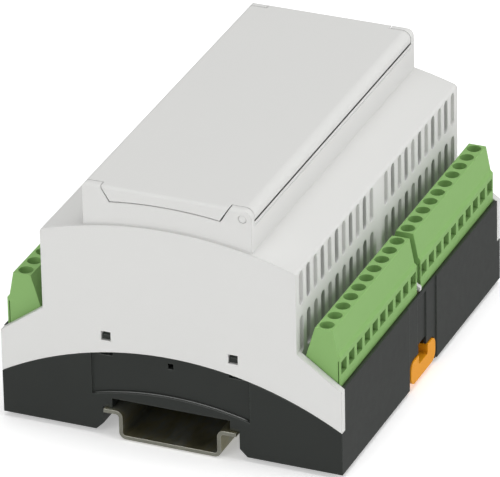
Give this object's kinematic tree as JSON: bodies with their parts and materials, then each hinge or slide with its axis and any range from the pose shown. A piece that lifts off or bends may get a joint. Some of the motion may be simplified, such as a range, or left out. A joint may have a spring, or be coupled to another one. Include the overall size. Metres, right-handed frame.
{
  "type": "din rail enclosure",
  "caption": "Stepped, vented enclosure clipped on a top-hat rail, with hinged lid, sprung latch foot, board inside and rows of screw terminals down both sides.",
  "frame": {"origin": "on the underside of the rail, under the middle of the housing", "axes": "+X across the rail to the side with the latch foot, +Y along the rail, +Z out of the cabinet's back plate towards the lid"},
  "size_m": [0.0896, 0.1096, 0.068],
  "materials": {
    "grey_plastic": "light grey moulded plastic, finely textured",
    "black_plastic": "black moulded plastic, finely textured",
    "orange_plastic": "orange moulded plastic",
    "green_plastic": "light green moulded plastic",
    "spring_steel": "bright spring wire",
    "board_green": "green solder mask on glass-fibre board",
    "zinc_steel": "zinc plated with a yellowish passivation",
    "screw_steel": "zinc plated steel",
    "clamp_steel": "zinc plated steel",
    "tinned_brass": "tinned brass"
  },
  "bodies": {
    "housing": {"base_tray": "black_plastic", "upper_shell": "grey_plastic", "foot_spring": "spring_steel", "main_board": "board_green", "terminal_housing_right_front": "green_plastic", "terminal_housing_right_rear": "green_plastic", "terminal_housing_left_front": "green_plastic", "terminal_housing_left_rear": "green_plastic", "clamp_screws_right_front": "screw_steel", "clamp_screws_right_rear": "screw_steel", "clamp_screws_left_front": "screw_steel", "clamp_screws_left_rear": "screw_steel", "wire_clamps_right_front": "clamp_steel", "wire_clamps_right_rear": "clamp_steel", "wire_clamps_left_front": "clamp_steel", "wire_clamps_left_rear": "clamp_steel", "contact_pins_right_front": "tinned_brass", "contact_pins_right_rear": "tinned_brass", "contact_pins_left_front": "tinned_brass", "contact_pins_left_rear": "tinned_brass"},
    "lid": {"lid": "grey_plastic"},
    "foot": {"rail_foot": "orange_plastic"},
    "rail": {"din_rail": "zinc_steel"}
  },
  "joints": [
    {"name": "lid_hinge", "type": "hinge", "parent": "housing", "child": "lid", "pos_m": [0.01965, 0, 0.0657], "axis": [0, 1, 0], "range_deg": [0, 120]},
    {"name": "foot_slide", "type": "slide", "parent": "housing", "child": "foot", "axis": [1, 0, 0], "range_m": [0, 0.0035], "stiffness_N_per_m": 1500, "springref_m": -0.003, "deforming": ["foot_spring"]},
    {"name": "rail_slide", "type": "slide", "parent": "housing", "child": "rail", "axis": [0, 1, 0], "range_m": [-0.03, 0.03]}
  ]
}
